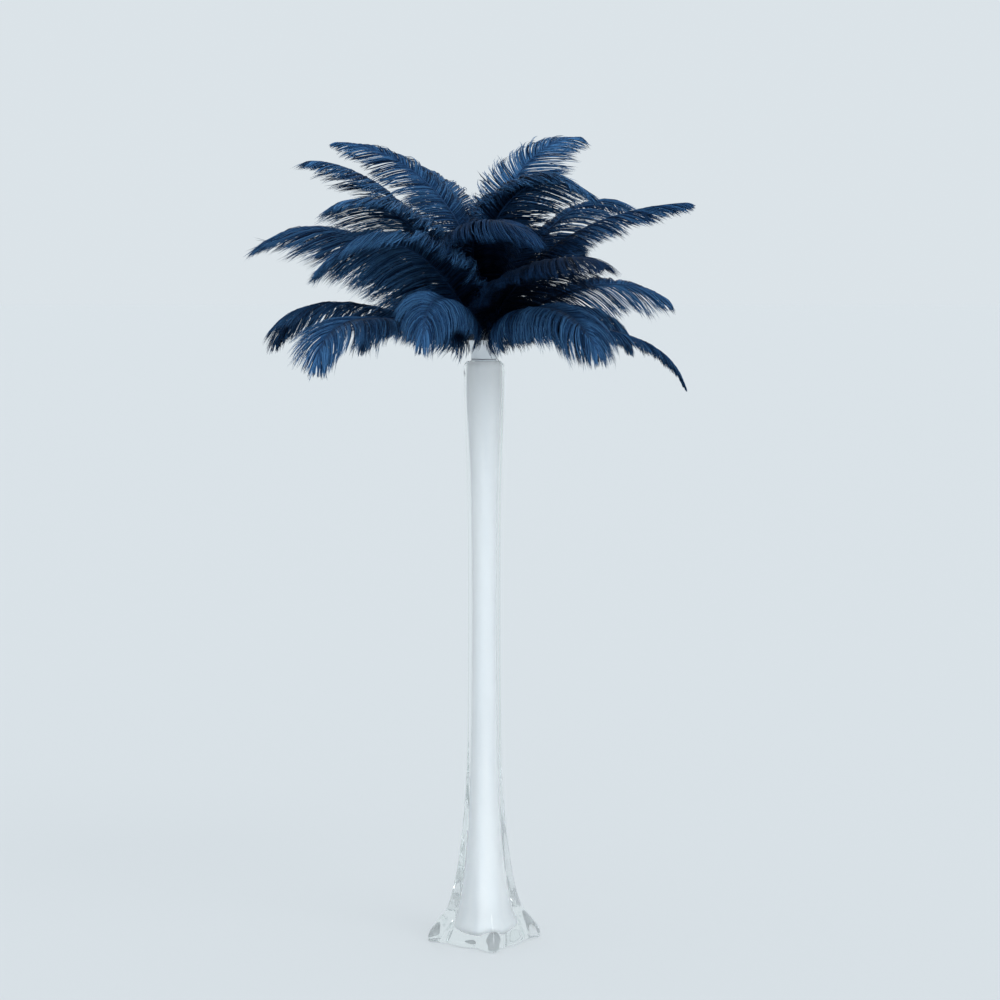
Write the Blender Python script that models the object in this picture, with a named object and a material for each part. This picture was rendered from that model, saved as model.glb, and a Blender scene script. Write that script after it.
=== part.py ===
"""A bouquet of navy ostrich plumes standing in a tall cased-glass tower vase.

The frame is in metres, +Z up, with the origin on the table at the centre of the vase's foot.
-Y is the front and +X the right. Headings are turned from +X towards +Y, so 270 degrees faces
the front. The vase is clear glass over a white inner layer, its mouth takes a white flared
holder, and every quill stands in a socket in the holder's domed top. A plume is one solid: a
quill, then two vanes that hang from the shaft like a long tent with notched edges.
"""

import math

import bmesh
import bpy
import numpy as np

# ---------------------------------------------------------------- driving dimensions
VASE_HEIGHT = 0.6096  # a 24 inch vase
FOOT_REACH = 0.060  # from the axis to the tip of a foot lobe
FOOT_TURN = 9.4  # degrees that the lobes are turned from the +X and +Y axes
MOUTH_RADIUS = 0.0124  # of the bore in the clear glass, at the rim
LINING_WALL = 0.0016  # thickness of the white inner layer
FIT_GAP = 0.0003  # left between pieces that touch
DOME_TOP = 0.6430  # height of the top of the holder's dome
DOME_RADIUS = 0.0275  # its sphere
QUILL_RADIUS = 0.0011
SOCKET_RADIUS = 0.0017  # to the corners of a six-sided socket
SOCKET_DEPTH = 0.005
SOCKET_CUT_REACH = 0.010  # how far a socket's cutter runs, from the bottom to above the dome
SHAFT_TIP_RADIUS = 0.0005
VANE_HALF_THICKNESS = 0.0008

# How far from the axis the quills stand, for each tier of plumes.
TIER_RADIUS = {"high": 0.0055, "mid": 0.0130, "low": 0.0195}

# One row for each plume, in degrees and metres: where its quill stands round the holder, the
# heading and the rise above the horizon that it leaves with, how far it then droops and turns
# by its tip, the length of its shaft, how late it bends, the length of its longest barbs, how
# much those barbs arch, and how far the plume is rolled about its shaft.
PLUMES = {
    "high_left": (176, 169, 97, 93, -16, 0.283, 1.0, 0.048, 0.8, 33),
    "high_left_back": (114, 124, 98, 82, -6, 0.238, 0.8, 0.060, 0.4, 0),
    "high_back": (81, 84, 76, 96, 0, 0.255, 1.5, 0.050, 0.8, 0),
    "high_right_back": (50, 43, 95, 91, -2, 0.270, 1.4, 0.056, 0.3, -28),
    "high_right_front": (313, 329, 107, 141, -15, 0.251, 1.3, 0.070, 0.9, 17),
    "high_front_curl": (262, 245, 71, 102, 80, 0.246, 1.2, 0.068, 1.0, 0),
    "mid_left_upper": (190, 201, 70, 73, 29, 0.277, 1.5, 0.062, 0.4, 10),
    "mid_left_broad": (215, 222, 64, 76, 17, 0.256, 1.4, 0.076, 0.5, -9),
    "mid_left_long": (162, 180, 45, 71, -14, 0.248, 2.4, 0.086, 1.0, 9),
    "mid_left_front": (243, 234, 47, 87, -25, 0.243, 2.0, 0.082, 0.9, -28),
    "mid_back_left": (130, 142, 55, 88, 0, 0.260, 1.6, 0.054, 0.9, 0),
    "mid_back": (97, 102, 50, 85, 0, 0.255, 1.6, 0.054, 0.9, 0),
    "mid_back_right": (65, 62, 54, 88, 0, 0.260, 1.6, 0.054, 0.9, 0),
    "mid_right_back": (35, 32, 68, 84, 27, 0.261, 1.5, 0.069, 0.7, 5),
    "mid_right_long": (335, 355, 86, 83, 0, 0.252, 0.6, 0.052, 0.7, 0),
    "mid_right_dark": (291, 292, 41, 51, 10, 0.250, 1.1, 0.074, 0.4, -2),
    "mid_right_low": (5, 23, 38, 59, 24, 0.241, 1.0, 0.060, 0.7, -25),
    "low_left_back": (158, 156, 17, 70, -31, 0.266, 2.6, 0.060, 0.9, -6),
    "low_left_front": (203, 224, 12, 60, 40, 0.258, 2.5, 0.071, 0.2, 5),
    "low_front_left": (245, 247, 39, 84, 21, 0.235, 1.1, 0.059, 0.8, 23),
    "low_front_right": (290, 299, 25, 63, -10, 0.255, 1.3, 0.071, 0.9, -10),
    "low_right_broad": (315, 319, 38, 78, -37, 0.199, 0.9, 0.065, 1.1, 1),
    "low_right_far": (15, 22, 7, 63, 29, 0.255, 2.0, 0.030, 0.9, -11),
    "low_back_right": (52, 52, 22, 68, 0, 0.260, 1.6, 0.054, 0.9, 0),
    "low_back": (88, 88, 20, 64, 0, 0.260, 1.6, 0.054, 0.9, 0),
    "low_back_left": (122, 122, 22, 68, 0, 0.260, 1.6, 0.054, 0.9, 0),
}

# The outside of the vase from foot to rim: height, reach of a lobe, reach between two lobes,
# and how narrow the lobes are. Metres, but for the last.
VASE_OUTSIDE = [
    (0.000, FOOT_REACH - 0.0015, 0.0420, 12.0),
    (0.003, FOOT_REACH, 0.0430, 12.0),
    (0.010, FOOT_REACH - 0.0015, 0.0418, 10.0),
    (0.021, 0.0508, 0.0370, 7.0),
    (0.035, 0.0402, 0.0308, 5.0),
    (0.060, 0.0324, 0.0262, 3.0),
    (0.105, 0.0252, 0.0212, 2.0),
    (0.170, 0.0196, 0.0182, 2.0),
    (0.260, 0.0179, 0.0172, 2.0),
    (0.440, 0.0177, 0.0171, 2.0),
    (0.590, 0.0213, 0.0206, 2.0),
    (0.606, 0.0208, 0.0202, 2.0),
    (VASE_HEIGHT, 0.0175, 0.0173, 2.0),
]

# The bore that the white layer fills, from the rim down: height and radius.
VASE_BORE = [
    (VASE_HEIGHT, MOUTH_RADIUS),
    (0.570, MOUTH_RADIUS),
    (0.440, 0.0088),
    (0.260, 0.0088),
    (0.110, 0.0136),
    (0.060, 0.0185),
    (0.025, 0.0246),
    (0.013, 0.0262),
    (0.008, 0.0200),
]

# The holder from the tip of its plug up to the edge of its cup: height and radius.
HOLDER_OUTSIDE = [
    (0.5750, 0.0080),
    (VASE_HEIGHT + FIT_GAP, 0.0098),
    (VASE_HEIGHT + FIT_GAP, 0.0120),
    (0.6118, 0.0135),
    (0.6165, 0.0131),
    (0.6210, 0.0139),
    (0.6250, 0.0160),
    (0.6285, 0.0200),
    (0.6310, 0.0245),
    (0.6322, 0.0245),
]
HOLDER_DOME_RADII = [0.0220, 0.0120]

# ---------------------------------------------------------------- how a plume is shaped
SHAFT_STEPS = 60
VANE_START = 0.14  # of the shaft, from the quill's foot
VANE_END = 0.985
VANE_RINGS = 13
BARB_STEPS = 6
SWEEP_AT_BASE = 78.0  # degrees between a barb and the shaft
SWEEP_LOST_AT_TIP = 64.0
SWEEP_CLOSED_AT_END = 8.0  # lost over the last few barbs, which close the plume's end
CLOSING_CURVE = 10  # the power that keeps that loss to the last few
SWEEP_LOST_ALONG_BARB = 40.0
SWEEP_LEAST = 10.0  # keeps the two vanes apart at the tip
RISE_AT_SHAFT = 26.0  # degrees that a barb climbs out of the plume's plane before it falls
FALL_AT_END = 94.0
HANG = 0.6  # downward part added to a barb's direction at its end
BARB_SHORTEST = 0.80
BARB_GROWTH = 1.9
TIP_TAPER_FROM = 0.36
TIP_TAPER = 0.80
TAPER_CURVE = 3.5
NOTCH = 0.80  # length of every second lock along a vane's edge
THINNING = 0.3  # of the vane's thickness, from its first barbs to its last
NEIGHBOUR_GAP = 0.0025

# ---------------------------------------------------------------- how finely it is modelled
VASE_SIDES = 32
LINING_SIDES = 20
HOLDER_SIDES = 20
SOCKET_SIDES = 6
QUILL_SIDES = 8
SMOOTH_UNDER = 40.0  # degrees between two faces that are still shaded as one surface
NEARLY_UPRIGHT = 0.2
TINY = 1e-9

# ---------------------------------------------------------------- colours
CLEAR_GLASS = ((0.86, 0.92, 0.90, 0.35), 0.03)
WHITE_GLASS = ((0.88, 0.91, 0.94, 1.0), 0.15)
WHITE_PLASTIC = ((0.84, 0.87, 0.90, 1.0), 0.45)
NAVY_PLUME = ((0.022, 0.060, 0.160, 1.0), 0.75)


def clear_scene():
    for old in list(bpy.data.objects):
        bpy.data.objects.remove(old, do_unlink=True)


def material(name, colour, roughness):
    made = bpy.data.materials.new(name)
    made.use_nodes = True
    shader = made.node_tree.nodes["Principled BSDF"]
    shader.inputs["Base Color"].default_value = colour
    shader.inputs["Roughness"].default_value = roughness
    shader.inputs["Metallic"].default_value = 0.0
    made.diffuse_color = colour
    return made


def add_object(name, shape, finish):
    """Turns a bmesh into a smooth-shaded object with its faces pointing outwards."""
    bmesh.ops.recalc_face_normals(shape, faces=shape.faces[:])
    mesh = bpy.data.meshes.new(name)
    shape.to_mesh(mesh)
    shape.free()
    mesh.materials.append(finish)
    mesh.shade_smooth()
    mesh.set_sharp_from_angle(angle=math.radians(SMOOTH_UNDER))
    made = bpy.data.objects.new(name, mesh)
    bpy.context.scene.collection.objects.link(made)
    return made


def loft(rings, closed_tip=None, folded=False):
    """Skins rings of points that have the same number of points each, and closes both ends.

    A folded skin has eight points a ring, and its upper and lower sheets are cut along the same
    diagonals, so that the two never cross where a ring is twisted against the next.
    """
    shape = bmesh.new()
    loops = [[shape.verts.new(point) for point in ring] for ring in rings]
    count = len(loops[0])
    for lower, upper in zip(loops, loops[1:]):
        for i in range(count):
            j = (i + 1) % count
            if not folded:
                shape.faces.new((lower[i], lower[j], upper[j], upper[i]))
            elif i % 4 < 2:
                shape.faces.new((lower[i], lower[j], upper[j]))
                shape.faces.new((lower[i], upper[j], upper[i]))
            else:
                shape.faces.new((lower[i], lower[j], upper[i]))
                shape.faces.new((lower[j], upper[j], upper[i]))
    shape.faces.new(loops[0][::-1])
    if closed_tip is None:
        shape.faces.new(loops[-1])
    else:
        tip = shape.verts.new(closed_tip)
        for i in range(count):
            shape.faces.new((loops[-1][i], loops[-1][(i + 1) % count], tip))
    return shape


# ---------------------------------------------------------------- vase and holder
def round_ring(height, radius, count):
    turns = np.arange(count) * 2 * math.pi / count + math.radians(FOOT_TURN)
    return [(radius * math.cos(a), radius * math.sin(a), height) for a in turns]


def lobed_ring(height, lobe, valley, narrowness, count):
    """A ring with four lobes: the reach is valley + (lobe - valley) * |cos 2a| ** narrowness."""
    ring = []
    for a in np.arange(count) * 2 * math.pi / count:
        reach = valley + (lobe - valley) * abs(math.cos(2 * a)) ** narrowness
        turned = a + math.radians(FOOT_TURN)
        ring.append((reach * math.cos(turned), reach * math.sin(turned), height))
    return ring


def build_vase_glass(finish):
    """The clear casing: a lobed outside, a flat foot, and a deep round bore open at the rim."""
    rings = [lobed_ring(*row, VASE_SIDES) for row in VASE_OUTSIDE]
    rings += [round_ring(height, radius, VASE_SIDES) for height, radius in VASE_BORE]
    return add_object("vase_glass", loft(rings), finish)


def build_vase_lining(finish):
    """The white layer inside the bore: a thin closed-bottomed sleeve, open at the rim."""
    outside = [(height, radius - FIT_GAP) for height, radius in VASE_BORE[::-1]]
    floor = VASE_BORE[-1][0] + FIT_GAP
    outside[0] = (floor, outside[0][1])
    inside = [(height, radius - FIT_GAP - LINING_WALL) for height, radius in VASE_BORE[:-1]]
    inside[-1] = (inside[-1][0] + LINING_WALL, inside[-1][1])
    rings = [round_ring(height, radius, LINING_SIDES) for height, radius in outside + inside]
    return add_object("vase_white_lining", loft(rings), finish)


def dome_height(radius):
    return DOME_TOP - DOME_RADIUS + math.sqrt(DOME_RADIUS**2 - radius**2)


def socket_cutter(foot, direction):
    """A six-sided prism along a quill, from the socket's bottom to well above the dome."""
    side = np.cross(direction, (0.0, 0.0, 1.0))
    if np.linalg.norm(side) < NEARLY_UPRIGHT:
        side = np.cross(direction, (1.0, 0.0, 0.0))
    side = side / np.linalg.norm(side)
    other = np.cross(side, direction)
    turns = [k * 2 * math.pi / SOCKET_SIDES for k in range(SOCKET_SIDES)]
    corners = [SOCKET_RADIUS * (math.cos(a) * side + math.sin(a) * other) for a in turns]
    ends = [foot + along * direction for along in (-FIT_GAP, SOCKET_CUT_REACH)]
    return loft([[end + corner for corner in corners] for end in ends])


def build_holder(shafts, finish):
    """A plug, a flared cup and a shallow dome, turned in one, with a socket for each quill."""
    rings = [round_ring(height, radius, HOLDER_SIDES) for height, radius in HOLDER_OUTSIDE]
    rings += [round_ring(dome_height(r), r, HOLDER_SIDES) for r in HOLDER_DOME_RADII]
    holder = add_object("feather_holder", loft(rings, (0, 0, DOME_TOP)), finish)
    for name, shaft in shafts.items():
        cutter = add_object(name + "_socket", socket_cutter(shaft[0][0], shaft[1][0]), finish)
        cutter.hide_render = True
        cutter.display_type = "WIRE"
        cut = holder.modifiers.new(cutter.name, "BOOLEAN")
        cut.operation = "DIFFERENCE"
        cut.solver = "EXACT"
        cut.object = cutter
    return holder


# ---------------------------------------------------------------- plumes
def shaft_curve(tier, seat, heading, rise, droop, turn, length, bend, roll):
    """Points and frames along a shaft.

    At a fraction t of the length the shaft climbs at rise - droop * t**bend and heads for
    heading + turn * t**bend. The points add those directions up from the bottom of the socket,
    and the roll turns the frame about the shaft.
    Returns points, directions, sideways vectors and vectors to the shaft's upper side.
    """
    t = np.linspace(0.0, 1.0, SHAFT_STEPS + 1)
    climb = np.radians(rise - droop * t**bend)
    head = np.radians(heading + turn * t**bend)
    along = np.stack([np.cos(climb) * np.cos(head), np.cos(climb) * np.sin(head), np.sin(climb)], 1)
    level = np.stack([np.sin(head), -np.cos(head), np.zeros_like(t)], 1)
    above = np.cross(level, along)
    rolled = math.radians(roll)
    side = math.cos(rolled) * level + math.sin(rolled) * above
    upper = math.cos(rolled) * above - math.sin(rolled) * level
    seat_turn = math.radians(seat)
    radius = TIER_RADIUS[tier]
    seat_point = np.array(
        [radius * math.cos(seat_turn), radius * math.sin(seat_turn), dome_height(radius)]
    )
    steps = (along[1:] + along[:-1]) / 2 * length / SHAFT_STEPS
    points = np.vstack([np.zeros(3), np.cumsum(steps, 0)]) + seat_point
    points[0] = seat_point - SOCKET_DEPTH * along[0]
    return points, along, side, upper


def at_fraction(shaft, t):
    """The point, direction, side and upper vectors of a shaft at a fraction of its length."""
    where = t * SHAFT_STEPS
    low = min(int(where), SHAFT_STEPS - 1)
    mix = where - low
    values = [(1 - mix) * part[low] + mix * part[low + 1] for part in shaft]
    return [values[0]] + [v / np.linalg.norm(v) for v in values[1:]]


def barb_length(u, longest):
    """Grows from the first barbs to full length, and tapers again close to the tip."""
    grown = min(1.0, BARB_SHORTEST + BARB_GROWTH * u)
    near_tip = max(0.0, (u - TIP_TAPER_FROM) / (1 - TIP_TAPER_FROM))
    return longest * grown * (1 - TIP_TAPER * near_tip**TAPER_CURVE)


def barb_offsets(frame, u, which, length, cup):
    """Offsets from the shaft to the middle and the end of a barb.

    A barb leaves the shaft at a sweep angle that closes towards the plume's tip and along the
    barb itself. It climbs a little out of the plume's plane, arches over and hangs. The offset
    adds its directions up.
    """
    along, side, upper = frame
    closed = SWEEP_LOST_AT_TIP * u**2 + SWEEP_CLOSED_AT_END * u**CLOSING_CURVE
    place = np.zeros(3)
    middle = place
    for step in range(BARB_STEPS):
        s = (step + 0.5) / BARB_STEPS
        sweep = max(SWEEP_LEAST, SWEEP_AT_BASE - closed - SWEEP_LOST_ALONG_BARB * s)
        sweep = math.radians(sweep)
        fall = math.radians(cup * (FALL_AT_END * s - RISE_AT_SHAFT * (1 - s)))
        across = math.cos(fall) * which * side - math.sin(fall) * upper
        heading = math.cos(sweep) * along + math.sin(sweep) * across
        heading = heading - np.array([0, 0, HANG * s])
        place = place + heading / np.linalg.norm(heading) * length / BARB_STEPS
        if step == BARB_STEPS // 2 - 1:
            middle = place
    return middle, place


def room_between(start, offset, others):
    """The largest part of an offset, up to 1, that stays nearer its own shaft than any other."""
    away = start - others
    reach = np.linalg.norm(offset)
    closing = reach * NEIGHBOUR_GAP - away @ offset
    room = (np.sum(away**2, 1) - NEIGHBOUR_GAP**2) / (2 * np.maximum(closing, TINY))
    room = np.where(closing > 0, room, 1.0)
    return float(np.clip(room.min(), QUILL_RADIUS / reach, 1.0))


def quill_ring(point, side, upper, radius):
    turns = [k * 2 * math.pi / QUILL_SIDES for k in range(QUILL_SIDES)]
    return [point + radius * (math.cos(a) * side + math.sin(a) * upper) for a in turns]


def unit(vector):
    return vector / max(np.linalg.norm(vector), TINY)


def vane_ring(point, frame, wings, radius, thickness):
    """Eight points: edge, back, top, back, edge, lining, keel, lining, of an arched section.

    The skin at the middle of a wing stands square to the mean of the wing's two halves.
    """
    along, side, upper = frame
    ring = {}
    for which, (middle, end) in wings.items():
        inner, outer = unit(np.cross(middle, along)), unit(np.cross(end - middle, along))
        skin = unit(inner + outer) * which * thickness
        ring[which] = (point + middle + skin, point + end, point + middle - skin)
    left, right = ring[1], ring[-1]
    top, keel = point + radius * upper, point - radius * upper
    return [left[1], left[0], top, right[0], right[1], right[2], keel, left[2]]


def plume_rings(shaft, others, longest, cup):
    """Rings up the quill and along the vanes, with every second lock on the edges short."""
    rings = []
    for t in (0.0, 1 / SHAFT_STEPS, VANE_START / 2):
        point, along, side, upper = at_fraction(shaft, t)
        rings.append(quill_ring(point, side, upper, QUILL_RADIUS))
    for k, t in enumerate(np.linspace(VANE_START, VANE_END, VANE_RINGS)):
        point, along, side, upper = at_fraction(shaft, t)
        u = (t - VANE_START) / (1 - VANE_START)
        length = barb_length(u, longest) * (NOTCH if k % 2 else 1.0)
        radius = QUILL_RADIUS + (SHAFT_TIP_RADIUS - QUILL_RADIUS) * t
        wings = {}
        for which in (1, -1):
            middle, end = barb_offsets((along, side, upper), u, which, length, cup)
            room = min(room_between(point, reach, others) for reach in (middle, end))
            wings[which] = (middle * room, end * room)
        thickness = VANE_HALF_THICKNESS * (1 - THINNING * u)
        rings.append(vane_ring(point, (along, side, upper), wings, radius, thickness))
    return rings


def build_plume(name, shafts, finish):
    longest, cup, _ = PLUMES[name][-3:]
    shaft = shafts[name]
    others = np.vstack([points[0] for other, points in shafts.items() if other != name])
    rings = plume_rings(shaft, others, longest, cup)
    tip = shaft[0][-1] + shaft[1][-1] * barb_length(1.0, longest)
    return add_object("plume_" + name, loft(rings, tip, folded=True), finish)


def main():
    clear_scene()
    shafts = {}
    for name, (*way, _, _, roll) in PLUMES.items():
        shafts[name] = shaft_curve(name.split("_")[0], *way, roll)
    build_vase_glass(material("clear_glass", *CLEAR_GLASS))
    build_vase_lining(material("white_glass", *WHITE_GLASS))
    build_holder(shafts, material("white_plastic", *WHITE_PLASTIC))
    navy = material("navy_plume", *NAVY_PLUME)
    for name in PLUMES:
        build_plume(name, shafts, navy)


main()
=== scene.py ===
"""Looks of a navy ostrich plume bouquet in a cased-glass tower vase.

Lengths are metres and angles degrees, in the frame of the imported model: +Z up from the table,
-Y the front of the view and +X its right.
"""

import math

import bpy
import numpy as np
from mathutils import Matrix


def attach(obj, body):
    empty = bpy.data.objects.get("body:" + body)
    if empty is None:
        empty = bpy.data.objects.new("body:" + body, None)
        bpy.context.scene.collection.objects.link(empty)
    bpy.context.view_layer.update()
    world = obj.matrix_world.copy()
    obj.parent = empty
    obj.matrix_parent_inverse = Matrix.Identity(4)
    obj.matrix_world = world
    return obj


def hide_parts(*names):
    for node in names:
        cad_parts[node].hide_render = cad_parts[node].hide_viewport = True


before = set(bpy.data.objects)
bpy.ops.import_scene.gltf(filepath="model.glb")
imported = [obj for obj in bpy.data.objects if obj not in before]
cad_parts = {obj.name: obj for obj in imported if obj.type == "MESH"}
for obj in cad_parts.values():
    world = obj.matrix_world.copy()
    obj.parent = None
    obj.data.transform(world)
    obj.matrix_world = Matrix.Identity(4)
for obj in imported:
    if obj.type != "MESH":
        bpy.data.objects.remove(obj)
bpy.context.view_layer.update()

# ---------------------------------------------------------------- plume arrangement
# Each plume's seat round the holder, heading, rise, droop, turn, shaft length, lateness of the
# bend, longest barb, cup of its barbs, and roll about its shaft.
PLUMES = {
    "high_left": (176, 169, 97, 93, -16, 0.283, 1.0, 0.048, 0.8, 33),
    "high_left_back": (114, 124, 98, 82, -6, 0.238, 0.8, 0.060, 0.4, 0),
    "high_back": (81, 84, 76, 96, 0, 0.255, 1.5, 0.050, 0.8, 0),
    "high_right_back": (50, 43, 95, 91, -2, 0.270, 1.4, 0.056, 0.3, -28),
    "high_right_front": (313, 329, 107, 141, -15, 0.251, 1.3, 0.070, 0.9, 17),
    "high_front_curl": (262, 245, 71, 102, 80, 0.246, 1.2, 0.068, 1.0, 0),
    "mid_left_upper": (190, 201, 70, 73, 29, 0.277, 1.5, 0.062, 0.4, 10),
    "mid_left_broad": (215, 222, 64, 76, 17, 0.256, 1.4, 0.076, 0.5, -9),
    "mid_left_long": (162, 180, 45, 71, -14, 0.248, 2.4, 0.086, 1.0, 9),
    "mid_left_front": (243, 234, 47, 87, -25, 0.243, 2.0, 0.082, 0.9, -28),
    "mid_back_left": (130, 142, 55, 88, 0, 0.260, 1.6, 0.054, 0.9, 0),
    "mid_back": (97, 102, 50, 85, 0, 0.255, 1.6, 0.054, 0.9, 0),
    "mid_back_right": (65, 62, 54, 88, 0, 0.260, 1.6, 0.054, 0.9, 0),
    "mid_right_back": (35, 32, 68, 84, 27, 0.261, 1.5, 0.069, 0.7, 5),
    "mid_right_long": (335, 355, 86, 83, 0, 0.252, 0.6, 0.052, 0.7, 0),
    "mid_right_dark": (291, 292, 41, 51, 10, 0.250, 1.1, 0.074, 0.4, -2),
    "mid_right_low": (5, 23, 38, 59, 24, 0.241, 1.0, 0.060, 0.7, -25),
    "low_left_back": (158, 156, 17, 70, -31, 0.266, 2.6, 0.060, 0.9, -6),
    "low_left_front": (203, 224, 12, 60, 40, 0.258, 2.5, 0.071, 0.2, 5),
    "low_front_left": (245, 247, 39, 84, 21, 0.235, 1.1, 0.059, 0.8, 23),
    "low_front_right": (290, 299, 25, 63, -10, 0.255, 1.3, 0.071, 0.9, -10),
    "low_right_broad": (315, 319, 38, 78, -37, 0.199, 0.9, 0.065, 1.1, 1),
    "low_right_far": (15, 22, 7, 63, 29, 0.255, 2.0, 0.030, 0.9, -11),
    "low_back_right": (52, 52, 22, 68, 0, 0.260, 1.6, 0.054, 0.9, 0),
    "low_back": (88, 88, 20, 64, 0, 0.260, 1.6, 0.054, 0.9, 0),
    "low_back_left": (122, 122, 22, 68, 0, 0.260, 1.6, 0.054, 0.9, 0),
}
FIRST_SEED = 100
# How light each plume is dyed, with painted shade for how little light its place leaves it; the
# others take 1.
DYE_AND_PAINTED_SHADES = {
    "high_left_back": 1.30,
    "high_right_back": 1.25,
    "high_right_front": 1.10,
    "high_back": 0.60,
    "high_front_curl": 0.65,
    "mid_left_broad": 1.30,
    "mid_left_front": 1.25,
    "mid_back_left": 0.60,
    "mid_back": 0.60,
    "mid_back_right": 0.60,
    "mid_right_long": 0.85,
    "mid_right_dark": 0.40,
    "low_left_back": 0.80,
    "low_front_left": 1.05,
    "low_right_broad": 0.90,
    "low_right_far": 0.80,
}
TIER_RADIUS = {"high": 0.0055, "mid": 0.0130, "low": 0.0195}
DOME_TOP = 0.6430
DOME_RADIUS = 0.0275
SOCKET_DEPTH = 0.005
SHAFT_STEPS = 60
SHAFT_TURNS = 8
QUILL_RADIUS = 0.0011
SHAFT_TIP_RADIUS = 0.0004

# ---------------------------------------------------------------- barbs
BARBS_PER_PLUME = 1200
BARB_SEGMENTS = 5
FIRST_BARB = 0.02  # of the shaft
BARB_WIDTH = 0.00078
BARB_WIDTH_RANGE = (0.7, 1.2)
BARB_TIP_WIDTH = 0.0003
BARB_RIDGE = 0.35  # of the width

# Lengths, as parts of the plume's longest barb.
BARB_SHORTEST = 0.80
BARB_GROWTH = 1.9
TIP_TAPER_FROM = 0.36
TIP_TAPER = 0.80
TAPER_CURVE = 3.5
LEAST_LENGTH = 0.74
SPARE_LENGTH = 0.36

# The angle between a barb and its shaft.
SWEEP_AT_BASE = 78.0
SWEEP_LOST_AT_TIP = 64.0
SWEEP_CLOSED_AT_END = 8.0
CLOSING_CURVE = 10
SWEEP_LOST_ALONG_BARB = 40.0
SWEEP_LEAST = 10.0

# How a vane rises beside the shaft and falls towards its edge, and how barbs hang down.
RISE_AT_SHAFT = 26.0
FALL_AT_END = 94.0
HANG = 0.6

# The fluff below VANE_START on the shaft is swept back, hangs more, is shorter, and goes round
# the shaft's underside.
VANE_START = 0.14
SWEPT_BACK_LOW = 20.0
HANG_LOW = 0.7
SHORT_LOW = 0.62
ROUND_LOW = 80.0

# Barbs cling together as strands, and strands lean together as locks.
STRANDS_PER_VANE = 300
STRAND_PULL = 0.6
LOCKS_PER_VANE = 105
LOCK_BORDER = 0.15
LOCK_PULL = 0.42
LOCK_PULL_RANGE = (0.8, 1.15)
LOCK_CURVE = 2.4
STRAY_SHARE = 0.18
STRAY_PULL = 0.2

# How far locks, stretches of a vane and single barbs stray from the plume's own angles.
LOCK_SWEEP = 1.5
LOCK_FALL = 3.0
LOCK_SIZE = 0.07
DRIFT_KNOTS = 16
DRIFT_SWEEP = 3.0
DRIFT_FALL = 6.0
BARB_SWEEP = 2.0
BARB_FALL = 3.0
STRAYING_AT_SHAFT = 0.3
END_CURL = 18.0
CURL_FROM = 0.55

# Tones of the dye, from 0 for nearly black to 1 for the lightest navy; the painted shade and light
# below scale them too.
MEAN_TONE = 0.64
STRAND_TONE = 0.25
BARB_TONE = 0.18
DARKEST_TONE = 0.05
# Painted shade and light: each barb is darker at the shaft and lightens evenly to its thin end,
# where light shines through.
PAINTED_SHADE_AT_SHAFT = 0.80
PAINTED_LIGHT_TO_END = 0.35
# Painted shade: the tone darkens towards the bouquet's heart, where little light gets in.
BOUQUET_HEART = np.array([0.025, -0.020, 0.690])
SHADE_FROM = 0.035
SHADE_TO = 0.110
SHADE_DEEPEST = 0.15


# ---------------------------------------------------------------- meshes from grids
def mesh_object(name, points, quads, triangles, finish, values=None):
    """Puts whole arrays of points, four-sided and three-sided faces into one smooth mesh."""
    mesh = bpy.data.meshes.new(name)
    loops = np.concatenate([quads.ravel(), triangles.ravel()]).astype(np.int32)
    sizes = np.concatenate([np.full(len(quads), 4), np.full(len(triangles), 3)])
    starts = np.concatenate([[0], np.cumsum(sizes)[:-1]]).astype(np.int32)
    mesh.vertices.add(len(points))
    mesh.vertices.foreach_set("co", np.ascontiguousarray(points, np.float32).ravel())
    mesh.loops.add(len(loops))
    mesh.loops.foreach_set("vertex_index", loops)
    mesh.polygons.add(len(sizes))
    mesh.polygons.foreach_set("loop_start", starts)
    for label, data in (values or {}).items():
        layer = mesh.attributes.new(label, "FLOAT", "POINT")
        layer.data.foreach_set("value", data.astype(np.float32))
    mesh.update(calc_edges=True)
    mesh.validate()
    mesh.materials.append(finish)
    mesh.shade_smooth()
    made = bpy.data.objects.new(name, mesh)
    bpy.context.scene.collection.objects.link(made)
    return made


def turned(name, grid, finish, values=None):
    """A closed surface from rings: grid[ring, turn] joins ring to ring and turn to turn, and the
    first and last rings are each closed by a fan to their own middle."""
    rings, turns, _ = grid.shape
    index = np.arange(rings * turns).reshape(rings, turns)
    after = np.roll(index, -1, axis=1)
    quads = np.stack([index[:-1], after[:-1], after[1:], index[1:]], -1).reshape(-1, 4)
    low, high = rings * turns, rings * turns + 1
    fan_low = np.stack([after[0], index[0], np.full(turns, low)], -1)
    fan_high = np.stack([index[-1], after[-1], np.full(turns, high)], -1)
    points = np.vstack([grid.reshape(-1, 3), grid[0].mean(0), grid[-1].mean(0)])
    return mesh_object(name, points, quads, np.vstack([fan_low, fan_high]), finish, values)


def smooth_through(knots, count):
    """A curve through rows of numbers: cubic pieces whose slope at each row is the one between
    its neighbours. A row follows the last by the root of the distance between their first two
    numbers, and the curve is sampled evenly on that scale."""
    knots = np.asarray(knots, float)
    gaps = np.linalg.norm(np.diff(knots[:, :2], axis=0), axis=1)
    at = np.concatenate([[0], np.cumsum(np.sqrt(gaps))])
    slope = np.gradient(knots, at, axis=0)
    where = np.linspace(0, at[-1], count)
    k = np.clip(np.searchsorted(at, where, side="right") - 1, 0, len(at) - 2)
    span = (at[k + 1] - at[k])[:, None]
    x = ((where - at[k])[:, None]) / span
    a, b = knots[k], knots[k + 1]
    sa, sb = slope[k] * span, slope[k + 1] * span
    return (
        (2 * x**3 - 3 * x**2 + 1) * a
        + (x**3 - 2 * x**2 + x) * sa
        + (3 * x**2 - 2 * x**3) * b
        + (x**3 - x**2) * sb
    )


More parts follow.
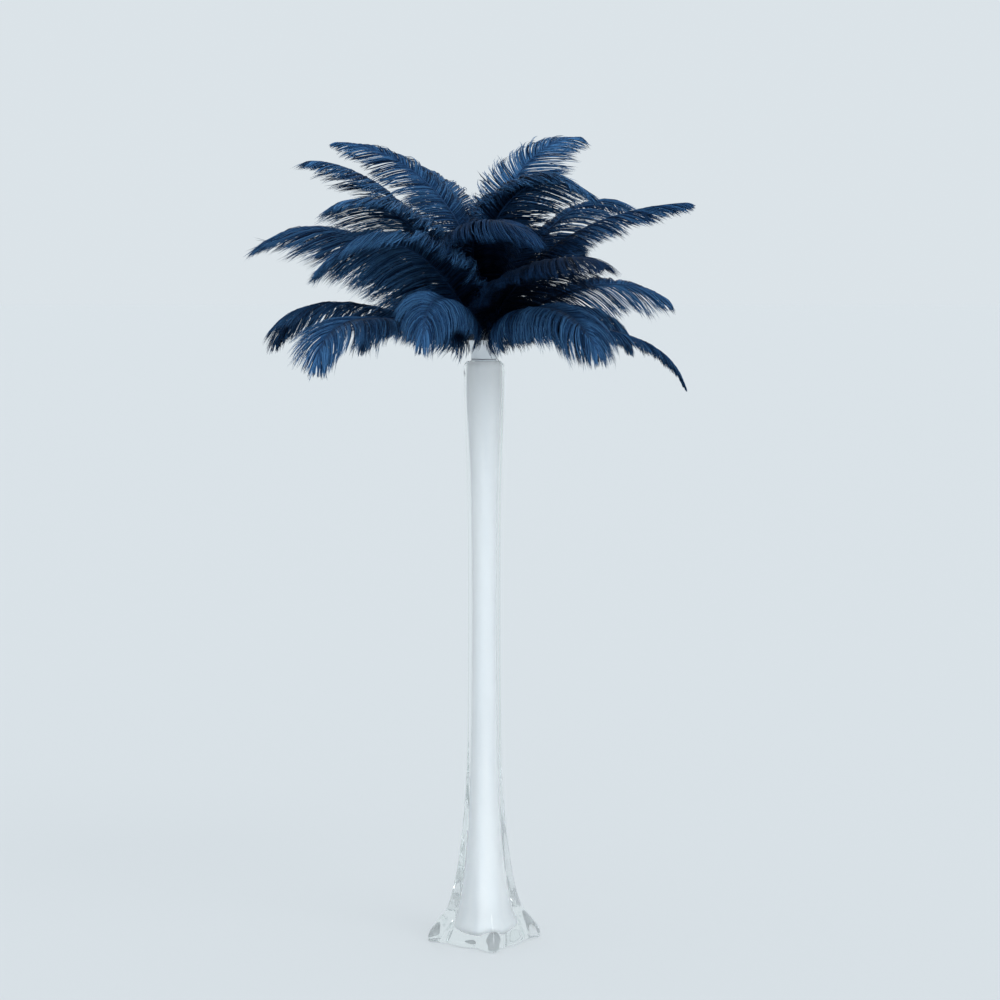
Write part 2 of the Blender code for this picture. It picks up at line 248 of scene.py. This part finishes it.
# ---------------------------------------------------------------- materials
def new_material(name):
    """A fresh material with its nodes, its links and its shader."""
    made = bpy.data.materials.new(name)
    made.use_nodes = True
    nodes, links = made.node_tree.nodes, made.node_tree.links
    return made, nodes, links, nodes["Principled BSDF"]


def cloudiness(nodes, links, stretch, scale):
    """Soft noise on the object's own coordinates, drawn out along each axis by a factor."""
    coordinates = nodes.new("ShaderNodeTexCoord")
    mapping = nodes.new("ShaderNodeMapping")
    mapping.inputs["Scale"].default_value = stretch
    noise = nodes.new("ShaderNodeTexNoise")
    noise.inputs["Scale"].default_value = scale
    noise.inputs["Detail"].default_value = 3.0
    links.new(coordinates.outputs["Object"], mapping.inputs["Vector"])
    links.new(mapping.outputs["Vector"], noise.inputs["Vector"])
    return noise.outputs["Fac"]


def painted(nodes, label):
    """The number of the given label that the mesh carries at each point."""
    attribute = nodes.new("ShaderNodeAttribute")
    attribute.attribute_name = label
    return attribute.outputs["Fac"]


def ramp_between(nodes, links, fac, stops):
    """A colour ramp over the given places and colours."""
    ramp = nodes.new("ShaderNodeValToRGB")
    ramp.color_ramp.elements[0].position, ramp.color_ramp.elements[0].color = stops[0]
    ramp.color_ramp.elements[1].position, ramp.color_ramp.elements[1].color = stops[-1]
    for place, colour in stops[1:-1]:
        ramp.color_ramp.elements.new(place).color = colour
    links.new(fac, ramp.inputs["Fac"])
    return ramp.outputs["Color"]


def mapped(nodes, links, value, start, end, low, high):
    """Maps a value evenly from the range start to end to the range low to high."""
    spread = nodes.new("ShaderNodeMapRange")
    spread.inputs["From Min"].default_value = start
    spread.inputs["From Max"].default_value = end
    spread.inputs["To Min"].default_value = low
    spread.inputs["To Max"].default_value = high
    links.new(value, spread.inputs["Value"])
    return spread.outputs["Result"]


# The range that nearly all of the soft noise lies in.
NOISE_LOW, NOISE_HIGH = 0.3, 0.7


def clear_glass():
    """Clear glass with a faint grey-green depth, and a breath of unevenness in its polish."""
    made, nodes, links, shader = new_material("clear vase glass")
    shader.inputs["Base Color"].default_value = (0.985, 0.992, 0.990, 1)
    shader.inputs["Transmission Weight"].default_value = 1.0
    shader.inputs["IOR"].default_value = 1.5
    breath = cloudiness(nodes, links, (1.0, 1.0, 0.4), 30.0)
    rough = mapped(nodes, links, breath, NOISE_LOW, NOISE_HIGH, 0.0, 0.02)
    links.new(rough, shader.inputs["Roughness"])
    absorb = nodes.new("ShaderNodeVolumeAbsorption")
    absorb.inputs["Color"].default_value = (0.62, 0.74, 0.70, 1)
    absorb.inputs["Density"].default_value = 2.0
    links.new(absorb.outputs["Volume"], nodes["Material Output"].inputs["Volume"])
    return made


# Painted shade: the white is darker low down and whitens evenly above, standing in for how light
# falls on the lining.
LOW_DOWN_PAINTED_SHADE = 0.93
PAINTED_SHADE_UP_TO = 0.22
FULL_WHITE_FROM = 0.56


def white_glass():
    """White glass with drawn-out streaks, darkened low down by painted shade: its white is scaled
    by a factor that goes evenly from the low-down factor to 1 between the two heights above."""
    made, nodes, links, shader = new_material("white inner glass")
    streaks = cloudiness(nodes, links, (1.0, 1.0, 0.05), 90.0)
    whites = [(NOISE_LOW, (0.930, 0.950, 0.975, 1)), (NOISE_HIGH, (0.985, 0.990, 0.998, 1))]
    place = nodes.new("ShaderNodeTexCoord")
    upright = nodes.new("ShaderNodeSeparateXYZ")
    links.new(place.outputs["Object"], upright.inputs["Vector"])
    heights = PAINTED_SHADE_UP_TO, FULL_WHITE_FROM
    painted_shade = mapped(nodes, links, upright.outputs["Z"], *heights, LOW_DOWN_PAINTED_SHADE, 1.0)
    white = nodes.new("ShaderNodeVectorMath")
    white.operation = "SCALE"
    links.new(ramp_between(nodes, links, streaks, whites), white.inputs[0])
    links.new(painted_shade, white.inputs["Scale"])
    links.new(white.outputs["Vector"], shader.inputs["Base Color"])
    rough = mapped(nodes, links, streaks, NOISE_LOW, NOISE_HIGH, 0.28, 0.40)
    links.new(rough, shader.inputs["Roughness"])
    return made


# Where a Mix node of colours has its factor, first colour, second colour and result.
MIX_FACTOR, MIX_FIRST, MIX_SECOND, MIX_RESULT = 0, 6, 7, 2


def white_plastic():
    """Satin white with soft clouds, darkened by a painted shadow line where the mesh marks the sunk
    ring.
    """
    made, nodes, links, shader = new_material("white holder plastic")
    clouds = cloudiness(nodes, links, (1.0, 1.0, 1.0), 60.0)
    whites = [(NOISE_LOW, (0.78, 0.82, 0.86, 1)), (NOISE_HIGH, (0.84, 0.87, 0.90, 1))]
    # Painted shadow: the sunk ring is coloured dark as its shadow line.
    shadow_line_paint = nodes.new("ShaderNodeMix")
    shadow_line_paint.data_type = "RGBA"
    shadow_line_paint.inputs[MIX_SECOND].default_value = (0.14, 0.15, 0.17, 1)
    links.new(painted(nodes, "seam_painted_shadow"), shadow_line_paint.inputs[MIX_FACTOR])
    links.new(ramp_between(nodes, links, clouds, whites), shadow_line_paint.inputs[MIX_FIRST])
    links.new(shadow_line_paint.outputs[MIX_RESULT], shader.inputs["Base Color"])
    rough = mapped(nodes, links, clouds, NOISE_LOW, NOISE_HIGH, 0.40, 0.52)
    links.new(rough, shader.inputs["Roughness"])
    return made


def navy_barbs():
    """Dyed barbs, nearly black to light navy by their tone, in which painted shade and light are
    mixed with the dye, with a faint blue sheen.
    """
    made, nodes, links, shader = new_material("navy barbs")
    navies = [
        (0.0, (0.0005, 0.0012, 0.0048, 1)),
        (0.5, (0.0090, 0.0330, 0.0900, 1)),
        (1.0, (0.0460, 0.1300, 0.2700, 1)),
    ]
    dye = ramp_between(nodes, links, painted(nodes, "tone"), navies)
    links.new(dye, shader.inputs["Base Color"])
    shader.inputs["Roughness"].default_value = 0.5
    shader.inputs["Specular IOR Level"].default_value = 0.06
    shader.inputs["Specular Tint"].default_value = (0.45, 0.70, 1.0, 1)
    return made


def navy_shaft():
    """Dyed shafts, darker than the barbs, whose tone also carries painted shade, with a fine grain
    in their gloss.
    """
    made, nodes, links, shader = new_material("navy shaft")
    navies = [(0.0, (0.0010, 0.0026, 0.0090, 1)), (1.0, (0.0140, 0.0400, 0.1000, 1))]
    dye = ramp_between(nodes, links, painted(nodes, "tone"), navies)
    links.new(dye, shader.inputs["Base Color"])
    grain = cloudiness(nodes, links, (1.0, 1.0, 1.0), 300.0)
    rough = mapped(nodes, links, grain, NOISE_LOW, NOISE_HIGH, 0.40, 0.60)
    links.new(rough, shader.inputs["Roughness"])
    shader.inputs["Specular IOR Level"].default_value = 0.06
    return made


# ---------------------------------------------------------------- vase
FOOT_TURN = 9.4
VASE_TURNS = 128
VASE_RINGS = 160
VASE_HEIGHT = 0.6096
# Height, reach of a lobe, reach of a valley between lobes, and narrowness of the lobes.
VASE_OUTSIDE = [
    (0.0000, 0.0300, 0.0300, 12.0),
    (0.0000, 0.0560, 0.0405, 12.0),
    (0.0012, 0.0595, 0.0425, 12.0),
    (0.0050, 0.0600, 0.0430, 12.0),
    (0.0100, 0.0585, 0.0418, 10.0),
    (0.0210, 0.0508, 0.0370, 7.0),
    (0.0350, 0.0402, 0.0308, 5.0),
    (0.0600, 0.0324, 0.0262, 3.0),
    (0.1050, 0.0252, 0.0212, 2.0),
    (0.1700, 0.0196, 0.0182, 2.0),
    (0.2600, 0.0179, 0.0172, 2.0),
    (0.4400, 0.0177, 0.0171, 2.0),
    (0.5900, 0.0213, 0.0206, 2.0),
    (0.6060, 0.0208, 0.0202, 2.0),
    (VASE_HEIGHT, 0.0175, 0.0173, 2.0),
]
BORE_RINGS = 60
# Height and radius, down the inside of the clear glass.
VASE_BORE = [
    (VASE_HEIGHT, 0.0124),
    (0.570, 0.0124),
    (0.500, 0.0098),
    (0.440, 0.0088),
    (0.260, 0.0088),
    (0.180, 0.0102),
    (0.110, 0.0136),
    (0.060, 0.0185),
    (0.025, 0.0246),
    (0.013, 0.0262),
    (0.008, 0.0200),
]
LINING_TURNS = 96
LINING_BOND = 0.0002  # how far the white layer reaches into the clear glass
LINING_THICKNESS = 0.0016
LINING_BELOW_RIM = 0.0003
LINING_FLOOR = 0.010


def lobed_rings(rows, turns):
    """reach(angle) = valley + (lobe - valley) * |cos(2 angle)| ** narrowness, at each height."""
    angle = np.arange(turns) * 2 * np.pi / turns
    height, lobe, valley, narrow = (rows[:, k][:, None] for k in range(4))
    reach = valley + (lobe - valley) * np.abs(np.cos(2 * angle)) ** narrow
    turned_angle = angle + math.radians(FOOT_TURN)
    return np.stack(
        [reach * np.cos(turned_angle), reach * np.sin(turned_angle), height + 0 * reach], -1
    )


def round_rings(rows, turns):
    """x and y are radius times cosine and sine of the turn, at each height."""
    angle = np.arange(turns) * 2 * np.pi / turns + math.radians(FOOT_TURN)
    height, radius = rows[:, 0][:, None], rows[:, 1][:, None]
    return np.stack([radius * np.cos(angle), radius * np.sin(angle), height + 0 * angle], -1)


def make_vase():
    """The clear shell runs up its outside and down its bore. The white lining runs up
    LINING_BOND past the bore's surface, and down again LINING_THICKNESS inside it."""
    outside = lobed_rings(smooth_through(VASE_OUTSIDE, VASE_RINGS), VASE_TURNS)
    bore = smooth_through(VASE_BORE, BORE_RINGS)
    inside = round_rings(bore, VASE_TURNS)
    glass = turned("clear_vase", np.concatenate([outside, inside]), clear_glass())
    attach(glass, "root")
    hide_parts("vase_glass")
    bonded = bore + np.array([0, LINING_BOND])
    bonded[-1, 0] -= LINING_BOND
    shell = np.concatenate([bonded[::-1], bore - np.array([0, LINING_THICKNESS])])
    shell[:, 0] = np.minimum(shell[:, 0], VASE_HEIGHT - LINING_BELOW_RIM)
    shell[BORE_RINGS:, 0] = np.maximum(shell[BORE_RINGS:, 0], LINING_FLOOR)
    lining = turned("white_lining", round_rings(shell, LINING_TURNS), white_glass())
    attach(lining, "root")
    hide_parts("vase_white_lining")


# ---------------------------------------------------------------- holder
HOLDER_TURNS = 72
COLLAR_RINGS = 30
CUP_RINGS = 60
# Height and radius: up the plug and collar, across the seam, and up the cup and over the dome.
HOLDER_COLLAR = [
    (0.5750, 0.0080),
    (0.6095, 0.0098),
    (0.6098, 0.0125),
    (0.6102, 0.0132),
    (0.6111, 0.0133),
]
HOLDER_SEAM = [(0.6112, 0.0129), (0.6119, 0.0129)]
HOLDER_CUP = [
    (0.6120, 0.0134),
    (0.6165, 0.0131),
    (0.6210, 0.0139),
    (0.6250, 0.0160),
    (0.6285, 0.0200),
    (0.6310, 0.0243),
    (0.6318, 0.0245),
    (0.6322, 0.0240),
    (0.6330, 0.0222),
    (0.6375, 0.0160),
    (0.6410, 0.0100),
    (0.6430, 0.0010),
]


def make_holder():
    """The plug and collar, the sunk ring above them with a painted shadow line, and the flared cup
    with its dome.
    """
    collar = smooth_through(HOLDER_COLLAR, COLLAR_RINGS)
    cup = smooth_through(HOLDER_CUP, CUP_RINGS)
    rings = np.vstack([collar, HOLDER_SEAM, cup])
    in_seam_shadow = np.zeros(len(rings))
    in_seam_shadow[COLLAR_RINGS:-CUP_RINGS] = 1.0
    seam_painted_shadow = np.concatenate([np.repeat(in_seam_shadow, HOLDER_TURNS), [0.0, 0.0]])
    grid = round_rings(rings, HOLDER_TURNS)
    holder = turned("flared_holder", grid, white_plastic(), {"seam_painted_shadow": seam_painted_shadow})
    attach(holder, "root")
    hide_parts("feather_holder")


# ---------------------------------------------------------------- shafts
def dome_height(radius):
    """Height of the ball's surface that the dome is part of, at a distance from its axis."""
    return DOME_TOP - DOME_RADIUS + math.sqrt(DOME_RADIUS**2 - radius**2)


def shaft_curve(tier, seat, heading, rise, droop, turn, length, bend, roll):
    """At a fraction t the shaft climbs at rise - droop * t**bend and heads for
    heading + turn * t**bend; its points add those directions up from the socket."""
    t = np.linspace(0.0, 1.0, SHAFT_STEPS + 1)
    climb = np.radians(rise - droop * t**bend)
    head = np.radians(heading + turn * t**bend)
    along = np.stack([np.cos(climb) * np.cos(head), np.cos(climb) * np.sin(head), np.sin(climb)], 1)
    level = np.stack([np.sin(head), -np.cos(head), np.zeros_like(t)], 1)
    above = np.cross(level, along)
    tip = math.radians(roll)
    side = math.cos(tip) * level + math.sin(tip) * above
    upper = math.cos(tip) * above - math.sin(tip) * level
    out, way = TIER_RADIUS[tier], math.radians(seat)
    seat_point = np.array([out * math.cos(way), out * math.sin(way), dome_height(out)])
    steps = (along[1:] + along[:-1]) / 2 * length / SHAFT_STEPS
    points = np.vstack([np.zeros(3), np.cumsum(steps, 0)]) + seat_point
    points[0] = seat_point - SOCKET_DEPTH * along[0]
    return t, points, along, side, upper


def shaft_tube(shaft):
    """A round tube along the shaft, whose radius goes evenly from QUILL_RADIUS to
    SHAFT_TIP_RADIUS."""
    t, points, _, side, upper = shaft
    radius = QUILL_RADIUS + (SHAFT_TIP_RADIUS - QUILL_RADIUS) * t
    angle = np.arange(SHAFT_TURNS) * 2 * np.pi / SHAFT_TURNS
    ring = np.cos(angle)[:, None] * side[:, None] + np.sin(angle)[:, None] * upper[:, None]
    return points[:, None] + radius[:, None, None] * ring


# ---------------------------------------------------------------- barbs
# t is a barb's place on the shaft and u its place on the vane, both from 0 to 1 at the tip. low
# goes from 1 for the lowest barbs to 0 at VANE_START, and s from 0 to 1 along a barb. which is 1
# for barbs on one side of the shaft and -1 on the other.
def unit(v):
    """Each direction divided by its own length."""
    return v / np.maximum(np.linalg.norm(v, axis=-1, keepdims=True), 1e-12)


def at_fractions(shaft, t):
    """The shaft's points and directions at the fractions t, straight between its steps."""
    knots = shaft[0]
    return [
        np.stack([np.interp(t, knots, part[:, k]) for k in range(3)], -1) for part in shaft[1:]
    ]


def drift(u, which, spread, rng):
    """A slow wander along each vane: straight lines between random values at even steps."""
    knots = np.linspace(0, 1, DRIFT_KNOTS)
    left, right = rng.normal(0, spread, (2, DRIFT_KNOTS))
    return np.where(which > 0, np.interp(u, knots, left), np.interp(u, knots, right))


def strands_and_locks(t, which, rng):
    """Each barb's strand and lock. Both vanes are cut into equal strands, and into locks whose
    borders waver, with even numbers on one side of the shaft and odd ones on the other."""
    place = (t - FIRST_BARB) / (1 - FIRST_BARB)
    strand = np.floor(place * STRANDS_PER_VANE).astype(int) * 2 + (which > 0)
    lock = np.floor(place * LOCKS_PER_VANE + rng.normal(0, LOCK_BORDER, len(t))).astype(int)
    return strand, (lock - lock.min()) * 2 + (which > 0)


def barb_lengths(u, low, longest, lock_size, rng):
    """Barbs grow evenly from BARB_SHORTEST of the longest until they reach it, and lose
    TIP_TAPER * x**TAPER_CURVE of it, with x from 0 at TIP_TAPER_FROM to 1 at the tip. Each is
    then LEAST_LENGTH of that and a part of SPARE_LENGTH that is more often large than small.
    The lowest barbs lose up to SHORT_LOW of their length."""
    grown = np.minimum(1.0, BARB_SHORTEST + BARB_GROWTH * u)
    near_tip = np.maximum(0.0, (u - TIP_TAPER_FROM) / (1 - TIP_TAPER_FROM))
    length = longest * grown * (1 - TIP_TAPER * near_tip**TAPER_CURVE)
    spare = SPARE_LENGTH * np.sqrt(rng.random(len(u)))
    return length * lock_size * (LEAST_LENGTH + spare) * (1 - SHORT_LOW * low)


def end_curl(strand, s, rng):
    """A turn of its own for each strand, which grows evenly from CURL_FROM to the barb's end."""
    turn = rng.normal(0, END_CURL, strand.max() + 1)[strand][:, None]
    return turn * np.maximum(0.0, (s - CURL_FROM) / (1 - CURL_FROM))


def barb_sweep(u, low, lock_sweep, strand, s, rng):
    """The angle to the shaft at the fractions s of a barb. It closes with u**2 towards the
    plume's tip, a little more with u**CLOSING_CURVE, and evenly along the barb."""
    closed = SWEEP_LOST_AT_TIP * u**2 + SWEEP_CLOSED_AT_END * u**CLOSING_CURVE
    sweep = (SWEEP_AT_BASE + SWEPT_BACK_LOW * low - closed)[:, None] - SWEEP_LOST_ALONG_BARB * s
    straying = (lock_sweep + rng.normal(0, BARB_SWEEP, len(u)))[:, None]
    return np.radians(np.maximum(SWEEP_LEAST, sweep) + straying + end_curl(strand, s, rng))


def barb_fall(low, cup, lock_fall, strand, s, rng):
    """The angle below the plume's plane at the fractions s of a barb, which is
    cup * (FALL_AT_END * s - RISE_AT_SHAFT * (1 - s)). The lowest barbs go further round."""
    curl = end_curl(strand, s, rng)
    straying = (lock_fall + rng.normal(0, BARB_FALL, len(low)))[:, None]
    fall = straying * (STRAYING_AT_SHAFT + (1 - STRAYING_AT_SHAFT) * s) + curl
    fall += (ROUND_LOW * low * rng.random(len(low)))[:, None]
    return np.radians(fall + cup * (RISE_AT_SHAFT * (s - 1) + FALL_AT_END * s))


def gather(paths, group, pull):
    """Moves each path towards the mean path of its group: path + pull * (mean - path)."""
    groups = group.max() + 1
    total = np.zeros((groups,) + paths.shape[1:])
    np.add.at(total, group, paths)
    mean = total[group] / np.bincount(group, minlength=groups)[group][:, None, None]
    return paths + pull[..., None] * (mean - paths)


def cling(paths, strand, lock, rng):
    """Draws barbs into strands, evenly up to the middle of their length and then no closer, and
    strands into locks with s**LOCK_CURVE. Stray barbs hardly join the locks."""
    n, rows, _ = paths.shape
    s = np.linspace(0, 1, rows)
    to_strand = STRAND_PULL * np.minimum(1, 2 * s)
    paths = gather(paths, strand, np.broadcast_to(to_strand, (n, rows)))
    stray = rng.random(n) < STRAY_SHARE
    pull = np.where(stray, STRAY_PULL, LOCK_PULL * rng.uniform(*LOCK_PULL_RANGE, n))
    return gather(paths, lock, pull[:, None] * s**LOCK_CURVE)


def barb_paths(shaft, t, which, longest, cup, rng):
    """A barb heads cos(sweep) along the shaft and sin(sweep) across it, and the way across turns
    down by its fall out of the plume's plane. A downward part grows evenly along the barb. Its
    points add those directions up from the shaft, and then barbs cling together."""
    point, along, side, upper = at_fractions(shaft, t)
    along, side, upper = unit(along), unit(side), unit(upper)
    u = np.clip((t - VANE_START) / (1 - VANE_START), 0, 1)
    low = np.clip(1 - t / VANE_START, 0, 1)
    strand, lock = strands_and_locks(t, which, rng)
    locks = lock.max() + 1
    lock_sweep = rng.normal(0, LOCK_SWEEP, locks)[lock] + drift(u, which, DRIFT_SWEEP, rng)
    lock_fall = rng.normal(0, LOCK_FALL, locks)[lock] + drift(u, which, DRIFT_FALL, rng)
    lock_size = rng.normal(1.0, LOCK_SIZE, locks)[lock]
    length = barb_lengths(u, low, longest, lock_size, rng)
    s = (np.arange(BARB_SEGMENTS) + 0.5) / BARB_SEGMENTS
    sweep = barb_sweep(u, low, lock_sweep, strand, s, rng)
    fall = barb_fall(low, cup, lock_fall, strand, s, rng)
    out = which[:, None, None] * side[:, None]
    across = np.cos(fall)[..., None] * out - np.sin(fall)[..., None] * upper[:, None]
    normal = np.sin(fall)[..., None] * out + np.cos(fall)[..., None] * upper[:, None]
    heading = np.cos(sweep)[..., None] * along[:, None] + np.sin(sweep)[..., None] * across
    heading[..., 2] -= (HANG + HANG_LOW * low)[:, None] * s
    steps = unit(heading) * (length / BARB_SEGMENTS)[:, None, None]
    paths = np.concatenate([np.zeros((len(t), 1, 3)), np.cumsum(steps, 1)], 1) + point[:, None]
    paths = cling(paths, strand, lock, rng)
    normal = np.concatenate([normal, normal[:, -1:]], 1)
    return paths, normal, strand


def barb_tubes(paths, normal, width):
    """A thin three-sided tube round each path, closed at its base: two corners half a width to
    either side and one raised along the vane's normal. It narrows from its width to
    BARB_TIP_WIDTH with s**3, and its last row is a point."""
    n, rows, _ = paths.shape
    direction = unit(np.gradient(paths, axis=1))
    cross = unit(np.cross(normal, direction))
    s = np.linspace(0, 1, rows)
    taper = (BARB_TIP_WIDTH + (width[:, None] - BARB_TIP_WIDTH) * (1 - s**3))[..., None]
    body = paths[:, :-1]
    cross, normal, taper = cross[:, :-1], normal[:, :-1], taper[:, :-1]
    left = body - cross * taper / 2
    right = body + cross * taper / 2
    ridge = body + normal * taper * BARB_RIDGE
    rings = np.stack([left, right, ridge], 2)
    count = (rows - 1) * 3 + 1
    points = np.concatenate([rings.reshape(n, -1, 3), paths[:, -1:]], 1).reshape(-1, 3)
    one = np.arange((rows - 1) * 3).reshape(rows - 1, 3)
    after = np.roll(one, -1, axis=1)
    quads = np.stack([one[:-1], after[:-1], after[1:], one[1:]], -1).reshape(-1, 4)
    tip = np.stack([one[-1], after[-1], np.full(3, count - 1)], -1)
    base = np.array([[one[0, 0], one[0, 2], one[0, 1]]])
    triangles = np.vstack([tip, base])
    shift = (np.arange(n) * count)[:, None, None]
    quads = (quads + shift).reshape(-1, 4)
    triangles = (triangles + shift).reshape(-1, 3)
    return points, quads, triangles, count


def painted_shade_in_bouquet(points):
    """Painted shade in the thick of the bouquet, where little light gets in: a factor that clears
    evenly from SHADE_DEEPEST at SHADE_FROM metres round the bouquet's heart to 1 at SHADE_TO."""
    away = np.linalg.norm(points - BOUQUET_HEART, axis=-1)
    clear = np.clip((away - SHADE_FROM) / (SHADE_TO - SHADE_FROM), 0, 1)
    return SHADE_DEEPEST + (1 - SHADE_DEEPEST) * clear


def barb_tones(strand, count, rng):
    """A tone for each strand and barb, with painted shade at the shaft and painted light towards
    the thin end, where light shines through: it lightens evenly along the barb, for the count of
    points that each barb's tube has."""
    n = len(strand)
    tone = MEAN_TONE + rng.normal(0, STRAND_TONE, strand.max() + 1)[strand]
    tone = np.repeat(np.clip(tone + rng.normal(0, BARB_TONE, n), DARKEST_TONE, 1), count)
    rows = np.linspace(0, 1, BARB_SEGMENTS + 1)
    along_barb = np.concatenate([np.repeat(rows[:-1], 3), [1.0]])
    return tone * (PAINTED_SHADE_AT_SHAFT + PAINTED_LIGHT_TO_END * np.tile(along_barb, n))


def make_plume(name, seed, barbs, quill):
    """Barbs at slightly uneven steps along the shaft, by turns on its two sides, and the shaft."""
    *way, longest, cup, roll = PLUMES[name]
    shaft = shaft_curve(name.split("_")[0], *way, roll)
    rng = np.random.default_rng(seed)
    n = BARBS_PER_PLUME
    t = FIRST_BARB + (1 - FIRST_BARB) * (np.arange(n) + rng.random(n)) / n
    which = np.where(np.arange(n) % 2 == 0, 1.0, -1.0)
    paths, normal, strand = barb_paths(shaft, t, which, longest, cup, rng)
    width = BARB_WIDTH * rng.uniform(*BARB_WIDTH_RANGE, n)
    points, quads, triangles, count = barb_tubes(paths, normal, width)
    # Each plume's factor is partly its dye and partly painted shade.
    shade = DYE_AND_PAINTED_SHADES.get(name, 1.0)
    tone = shade * barb_tones(strand, count, rng) * painted_shade_in_bouquet(points)
    vane = mesh_object("barbs_" + name, points, quads, triangles, barbs, {"tone": tone})
    stem_grid = shaft_tube(shaft)
    ends = np.stack([stem_grid[0].mean(0), stem_grid[-1].mean(0)])
    stem_tone = shade * painted_shade_in_bouquet(np.vstack([stem_grid.reshape(-1, 3), ends]))
    stem = turned("shaft_" + name, stem_grid, quill, {"tone": stem_tone})
    for piece in (vane, stem):
        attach(piece, "root")
        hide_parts("plume_" + name)


# ---------------------------------------------------------------- stage
BACKDROP = (0.71, 0.77, 0.81, 1)
# How much more the backdrop lights than it shows, all round and from the front.
EXTRA_FILL = 0.36
FRONT_FILL = 4.3
FRONT_WAY = (0.30, -0.95, -0.10)
FRONT_NARROWNESS = 3.0
KEY_STRENGTH = 0.45
KEY_SPREAD = 25
KEY_TURN = (42, 8, 38)
FLOOR = (0.200, 0.205, 0.208, 1)
FLOOR_GLOW = 0.620
FLOOR_SIZE = 400
FLOOR_DROP = 0.0004
LIGHT_BOUNCES = 24


def soft_light(name, strength, spread, turn):
    """A far light as wide as the given spread, turned by the given angles about X, Y and Z."""
    sun = bpy.data.lights.new(name, "SUN")
    sun.energy = strength
    sun.angle = math.radians(spread)
    lamp = bpy.data.objects.new(name, sun)
    bpy.context.scene.collection.objects.link(lamp)
    lamp.rotation_euler = [math.radians(angle) for angle in turn]


def worked_out(nodes, links, operation, first, *others):
    """One step of arithmetic on a node's output, with numbers or other outputs as its further
    terms."""
    step = nodes.new("ShaderNodeMath")
    step.operation = operation
    links.new(first, step.inputs[0])
    for place, term in enumerate(others, 1):
        if isinstance(term, float):
            step.inputs[place].default_value = term
        else:
            links.new(term, step.inputs[place])
    return step.outputs["Value"]


def make_backdrop():
    """A pale backdrop. Where it lights a surface it is stronger than it looks by EXTRA_FILL, and
    by FRONT_FILL * (cosine of the angle to the front) ** FRONT_NARROWNESS."""
    world = bpy.data.worlds.new("soft studio")
    bpy.context.scene.world = world
    world.use_nodes = True
    nodes, links = world.node_tree.nodes, world.node_tree.links
    background = nodes["Background"]
    background.inputs["Color"].default_value = BACKDROP
    way = nodes.new("ShaderNodeTexCoord")
    facing = nodes.new("ShaderNodeVectorMath")
    facing.operation = "DOT_PRODUCT"
    facing.inputs[1].default_value = FRONT_WAY
    links.new(way.outputs["Generated"], facing.inputs[0])
    front = worked_out(nodes, links, "MAXIMUM", facing.outputs["Value"], 0.0)
    front = worked_out(nodes, links, "POWER", front, FRONT_NARROWNESS)
    fill = worked_out(nodes, links, "MULTIPLY_ADD", front, FRONT_FILL, EXTRA_FILL)
    depth = nodes.new("ShaderNodeLightPath").outputs["Diffuse Depth"]
    lighting = worked_out(nodes, links, "GREATER_THAN", depth, 0.5)
    strength = worked_out(nodes, links, "MULTIPLY_ADD", lighting, fill, 1.0)
    links.new(strength, background.inputs["Strength"])


def make_floor():
    """A pale floor as light as the backdrop, part of it a glow of its own, which keeps the view
    down through the clear foot pale."""
    bpy.ops.mesh.primitive_plane_add(size=FLOOR_SIZE, location=(0, 0, -FLOOR_DROP))
    floor = bpy.context.object
    floor.name = "floor"
    made, _, _, shader = new_material("pale floor")
    shader.inputs["Base Color"].default_value = FLOOR
    shader.inputs["Emission Color"].default_value = BACKDROP
    shader.inputs["Emission Strength"].default_value = FLOOR_GLOW
    shader.inputs["Roughness"].default_value = 0.9
    shader.inputs["Specular IOR Level"].default_value = 0.1
    floor.data.materials.append(made)


def make_stage():
    """The backdrop, the floor, a soft key light from the front right, and enough bounces for
    light to pass all walls of the glass."""
    make_backdrop()
    make_floor()
    soft_light("key", KEY_STRENGTH, KEY_SPREAD, KEY_TURN)
    cycles = bpy.context.scene.cycles
    cycles.max_bounces = LIGHT_BOUNCES
    cycles.diffuse_bounces = LIGHT_BOUNCES // 2
    cycles.glossy_bounces = LIGHT_BOUNCES
    cycles.transmission_bounces = LIGHT_BOUNCES
    bpy.context.scene.view_settings.view_transform = "Standard"


# ---------------------------------------------------------------- camera
CAMERA_PLACE = (0.0166, -2.508, 0.6757)
CAMERA_TIPPED_DOWN = 4.8
CAMERA_FOCAL_PIXELS = 2420.0
FRAME_PIXELS = 1000.0
SENSOR_MM = 36.0


def make_camera():
    """A camera in front of the bouquet that looks along +Y and is tipped down a little."""
    data = bpy.data.cameras.new("view")
    data.sensor_width = SENSOR_MM
    data.lens = SENSOR_MM * CAMERA_FOCAL_PIXELS / FRAME_PIXELS
    camera = bpy.data.objects.new("view", data)
    camera.location = CAMERA_PLACE
    camera.rotation_euler = (math.radians(90 - CAMERA_TIPPED_DOWN), 0, 0)
    bpy.context.scene.collection.objects.link(camera)
    bpy.context.scene.camera = camera


# ---------------------------------------------------------------- scene
make_camera()
make_stage()
make_vase()
make_holder()
BARBS, QUILL = navy_barbs(), navy_shaft()
for place, plume in enumerate(PLUMES):
    make_plume(plume, FIRST_SEED + place, BARBS, QUILL)
